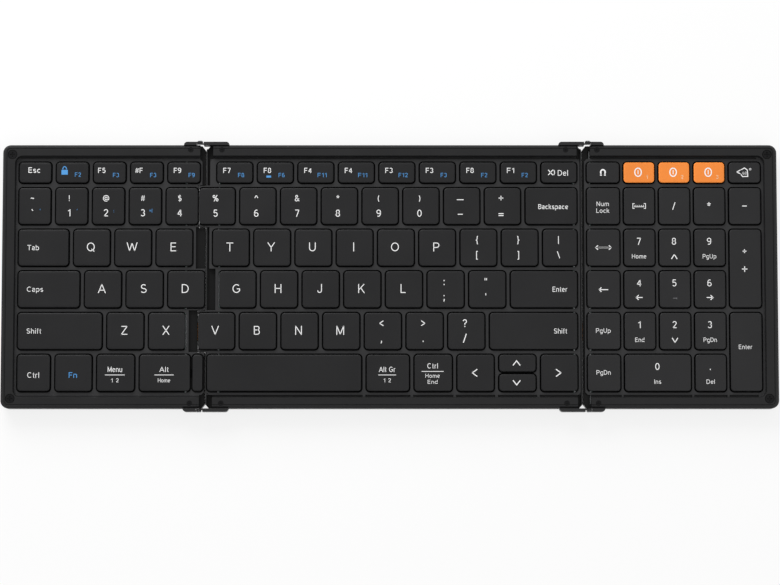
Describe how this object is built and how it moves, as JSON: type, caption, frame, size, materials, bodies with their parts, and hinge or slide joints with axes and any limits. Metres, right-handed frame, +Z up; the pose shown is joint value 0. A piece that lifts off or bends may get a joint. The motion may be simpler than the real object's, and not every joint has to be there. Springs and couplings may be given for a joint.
{
  "type": "folding keyboard",
  "caption": "Flat three-panel folding keyboard with a number pad: the side panels fold up and over the middle one on pinned hinges, and every key travels.",
  "frame": {"origin": "middle of the underside of the unfolded keyboard, on the plane that the rubber feet stand on", "axes": "+X to the typist's right along the keyboard, +Y away from the typist, +Z up from the table"},
  "size_m": [0.354, 0.1244, 0.0114],
  "materials": {
    "frame_plastic": "fine-grained black moulding",
    "cover_plastic": "fine-grained black moulding",
    "key_plastic": "satin dark grey",
    "pad_key_plastic": "satin dark grey",
    "orange_key_plastic": "satin orange",
    "plate_steel": "satin",
    "circuit_film": "translucent film with printed tracks",
    "dome_rubber": "matt",
    "screw_steel": "black",
    "leaf_steel": "satin black",
    "pin_steel": "satin",
    "foot_rubber": "matt",
    "battery_foil": "satin foil",
    "board_laminate": "green lacquer",
    "socket_steel": "satin",
    "ribbon_film": "amber film"
  },
  "bodies": {
    "middle_panel": {"middle_frame": "frame_plastic", "middle_bottom_cover": "cover_plastic", "middle_key_plate": "plate_steel", "middle_membrane": "circuit_film", "middle_dome_sheet": "dome_rubber", "middle_screws": "screw_steel", "middle_feet": "foot_rubber", "middle_hinge_leaves": "leaf_steel", "battery": "battery_foil", "main_board": "board_laminate", "charging_socket": "socket_steel", "left_ribbon": "ribbon_film", "right_ribbon": "ribbon_film", "hinge_pins": "pin_steel"},
    "left_panel": {"left_frame": "frame_plastic", "left_bottom_cover": "cover_plastic", "left_key_plate": "plate_steel", "left_membrane": "circuit_film", "left_dome_sheet": "dome_rubber", "left_screws": "screw_steel", "left_feet": "foot_rubber", "left_hinge_leaves": "leaf_steel"},
    "right_panel": {"right_frame": "frame_plastic", "right_bottom_cover": "cover_plastic", "right_key_plate": "plate_steel", "right_membrane": "circuit_film", "right_dome_sheet": "dome_rubber", "right_screws": "screw_steel", "right_feet": "foot_rubber", "right_hinge_leaves": "leaf_steel"},
    "keys_left_function": {"keys_left_function": "key_plastic"},
    "keys_left_digits": {"keys_left_digits": "key_plastic"},
    "key_tab": {"key_tab": "key_plastic"},
    "keys_left_upper": {"keys_left_upper": "key_plastic"},
    "key_caps_lock": {"key_caps_lock": "key_plastic"},
    "keys_left_home": {"keys_left_home": "key_plastic"},
    "key_left_shift": {"key_left_shift": "key_plastic"},
    "keys_left_lower": {"keys_left_lower": "key_plastic"},
    "keys_left_modifiers": {"keys_left_modifiers": "key_plastic"},
    "key_space_end": {"key_space_end": "key_plastic"},
    "keys_middle_function": {"keys_middle_function": "key_plastic"},
    "keys_middle_digits": {"keys_middle_digits": "key_plastic"},
    "key_backspace": {"key_backspace": "key_plastic"},
    "keys_middle_upper": {"keys_middle_upper": "key_plastic"},
    "keys_middle_home": {"keys_middle_home": "key_plastic"},
    "key_enter": {"key_enter": "key_plastic"},
    "keys_middle_lower": {"keys_middle_lower": "key_plastic"},
    "key_right_shift": {"key_right_shift": "key_plastic"},
    "key_space": {"key_space": "key_plastic"},
    "keys_middle_modifiers": {"keys_middle_modifiers": "key_plastic"},
    "keys_arrows": {"keys_arrows": "key_plastic"},
    "keys_pad_function": {"keys_pad_function": "pad_key_plastic"},
    "keys_channel": {"keys_channel": "orange_key_plastic"},
    "keys_pad_navigation": {"keys_pad_navigation": "pad_key_plastic"},
    "keys_pad_operators": {"keys_pad_operators": "pad_key_plastic"},
    "keys_pad_digits": {"keys_pad_digits": "pad_key_plastic"},
    "keys_pad_tall": {"keys_pad_tall": "pad_key_plastic"},
    "key_pad_zero": {"key_pad_zero": "pad_key_plastic"}
  },
  "joints": [
    {"name": "fold_left", "type": "hinge", "parent": "middle_panel", "child": "left_panel", "pos_m": [-0.08678, 0, 0.01015], "axis": [0, 1, 0], "range_deg": [0, 180], "deforming": ["left_ribbon"]},
    {"name": "fold_right", "type": "hinge", "parent": "middle_panel", "child": "right_panel", "pos_m": [0.09058, 0, 0.01015], "axis": [0, -1, 0], "range_deg": [0, 180], "deforming": ["right_ribbon"]},
    {"name": "press_left_function", "type": "slide", "parent": "left_panel", "child": "keys_left_function", "axis": [0, 0, -1], "range_m": [0, 0.0015], "stiffness_N_per_m": 2000, "springref_m": -0.0005, "deforming": ["left_dome_sheet"]},
    {"name": "press_left_digits", "type": "slide", "parent": "left_panel", "child": "keys_left_digits", "axis": [0, 0, -1], "range_m": [0, 0.0015], "stiffness_N_per_m": 2000, "springref_m": -0.0005, "deforming": ["left_dome_sheet"]},
    {"name": "press_tab", "type": "slide", "parent": "left_panel", "child": "key_tab", "axis": [0, 0, -1], "range_m": [0, 0.0015], "stiffness_N_per_m": 400, "springref_m": -0.0005, "deforming": ["left_dome_sheet"]},
    {"name": "press_left_upper", "type": "slide", "parent": "left_panel", "child": "keys_left_upper", "axis": [0, 0, -1], "range_m": [0, 0.0015], "stiffness_N_per_m": 1200, "springref_m": -0.0005, "deforming": ["left_dome_sheet"]},
    {"name": "press_caps_lock", "type": "slide", "parent": "left_panel", "child": "key_caps_lock", "axis": [0, 0, -1], "range_m": [0, 0.0015], "stiffness_N_per_m": 400, "springref_m": -0.0005, "deforming": ["left_dome_sheet"]},
    {"name": "press_left_home", "type": "slide", "parent": "left_panel", "child": "keys_left_home", "axis": [0, 0, -1], "range_m": [0, 0.0015], "stiffness_N_per_m": 1200, "springref_m": -0.0005, "deforming": ["left_dome_sheet"]},
    {"name": "press_left_shift", "type": "slide", "parent": "left_panel", "child": "key_left_shift", "axis": [0, 0, -1], "range_m": [0, 0.0015], "stiffness_N_per_m": 400, "springref_m": -0.0005, "deforming": ["left_dome_sheet"]},
    {"name": "press_left_lower", "type": "slide", "parent": "left_panel", "child": "keys_left_lower", "axis": [0, 0, -1], "range_m": [0, 0.0015], "stiffness_N_per_m": 800, "springref_m": -0.0005, "deforming": ["left_dome_sheet"]},
    {"name": "press_left_modifiers", "type": "slide", "parent": "left_panel", "child": "keys_left_modifiers", "axis": [0, 0, -1], "range_m": [0, 0.0015], "stiffness_N_per_m": 1600, "springref_m": -0.0005, "deforming": ["left_dome_sheet"]},
    {"name": "press_space_end", "type": "slide", "parent": "left_panel", "child": "key_space_end", "axis": [0, 0, -1], "range_m": [0, 0.0015], "stiffness_N_per_m": 400, "springref_m": -0.0005, "deforming": ["left_dome_sheet"]},
    {"name": "press_middle_function", "type": "slide", "parent": "middle_panel", "child": "keys_middle_function", "axis": [0, 0, -1], "range_m": [0, 0.0015], "stiffness_N_per_m": 3600, "springref_m": -0.0005, "deforming": ["middle_dome_sheet"]},
    {"name": "press_middle_digits", "type": "slide", "parent": "middle_panel", "child": "keys_middle_digits", "axis": [0, 0, -1], "range_m": [0, 0.0015], "stiffness_N_per_m": 3200, "springref_m": -0.0005, "deforming": ["middle_dome_sheet"]},
    {"name": "press_backspace", "type": "slide", "parent": "middle_panel", "child": "key_backspace", "axis": [0, 0, -1], "range_m": [0, 0.0015], "stiffness_N_per_m": 400, "springref_m": -0.0005, "deforming": ["middle_dome_sheet"]},
    {"name": "press_middle_upper", "type": "slide", "parent": "middle_panel", "child": "keys_middle_upper", "axis": [0, 0, -1], "range_m": [0, 0.0015], "stiffness_N_per_m": 3600, "springref_m": -0.0005, "deforming": ["middle_dome_sheet"]},
    {"name": "press_middle_home", "type": "slide", "parent": "middle_panel", "child": "keys_middle_home", "axis": [0, 0, -1], "range_m": [0, 0.0015], "stiffness_N_per_m": 2800, "springref_m": -0.0005, "deforming": ["middle_dome_sheet"]},
    {"name": "press_enter", "type": "slide", "parent": "middle_panel", "child": "key_enter", "axis": [0, 0, -1], "range_m": [0, 0.0015], "stiffness_N_per_m": 400, "springref_m": -0.0005, "deforming": ["middle_dome_sheet"]},
    {"name": "press_middle_lower", "type": "slide", "parent": "middle_panel", "child": "keys_middle_lower", "axis": [0, 0, -1], "range_m": [0, 0.0015], "stiffness_N_per_m": 2800, "springref_m": -0.0005, "deforming": ["middle_dome_sheet"]},
    {"name": "press_right_shift", "type": "slide", "parent": "middle_panel", "child": "key_right_shift", "axis": [0, 0, -1], "range_m": [0, 0.0015], "stiffness_N_per_m": 400, "springref_m": -0.0005, "deforming": ["middle_dome_sheet"]},
    {"name": "press_space", "type": "slide", "parent": "middle_panel", "child": "key_space", "axis": [0, 0, -1], "range_m": [0, 0.0015], "stiffness_N_per_m": 400, "springref_m": -0.0005, "deforming": ["middle_dome_sheet"]},
    {"name": "press_middle_modifiers", "type": "slide", "parent": "middle_panel", "child": "keys_middle_modifiers", "axis": [0, 0, -1], "range_m": [0, 0.0015], "stiffness_N_per_m": 800, "springref_m": -0.0005, "deforming": ["middle_dome_sheet"]},
    {"name": "press_arrows", "type": "slide", "parent": "middle_panel", "child": "keys_arrows", "axis": [0, 0, -1], "range_m": [0, 0.0015], "stiffness_N_per_m": 1600, "springref_m": -0.0005, "deforming": ["middle_dome_sheet"]},
    {"name": "press_pad_function", "type": "slide", "parent": "right_panel", "child": "keys_pad_function", "axis": [0, 0, -1], "range_m": [0, 0.0015], "stiffness_N_per_m": 800, "springref_m": -0.0005, "deforming": ["right_dome_sheet"]},
    {"name": "press_channel", "type": "slide", "parent": "right_panel", "child": "keys_channel", "axis": [0, 0, -1], "range_m": [0, 0.0015], "stiffness_N_per_m": 1200, "springref_m": -0.0005, "deforming": ["right_dome_sheet"]},
    {"name": "press_pad_navigation", "type": "slide", "parent": "right_panel", "child": "keys_pad_navigation", "axis": [0, 0, -1], "range_m": [0, 0.0015], "stiffness_N_per_m": 2000, "springref_m": -0.0005, "deforming": ["right_dome_sheet"]},
    {"name": "press_pad_operators", "type": "slide", "parent": "right_panel", "child": "keys_pad_operators", "axis": [0, 0, -1], "range_m": [0, 0.0015], "stiffness_N_per_m": 1600, "springref_m": -0.0005, "deforming": ["right_dome_sheet"]},
    {"name": "press_pad_digits", "type": "slide", "parent": "right_panel", "child": "keys_pad_digits", "axis": [0, 0, -1], "range_m": [0, 0.0015], "stiffness_N_per_m": 4000, "springref_m": -0.0005, "deforming": ["right_dome_sheet"]},
    {"name": "press_pad_tall", "type": "slide", "parent": "right_panel", "child": "keys_pad_tall", "axis": [0, 0, -1], "range_m": [0, 0.0015], "stiffness_N_per_m": 800, "springref_m": -0.0005, "deforming": ["right_dome_sheet"]},
    {"name": "press_pad_zero", "type": "slide", "parent": "right_panel", "child": "key_pad_zero", "axis": [0, 0, -1], "range_m": [0, 0.0015], "stiffness_N_per_m": 400, "springref_m": -0.0005, "deforming": ["right_dome_sheet"]}
  ]
}
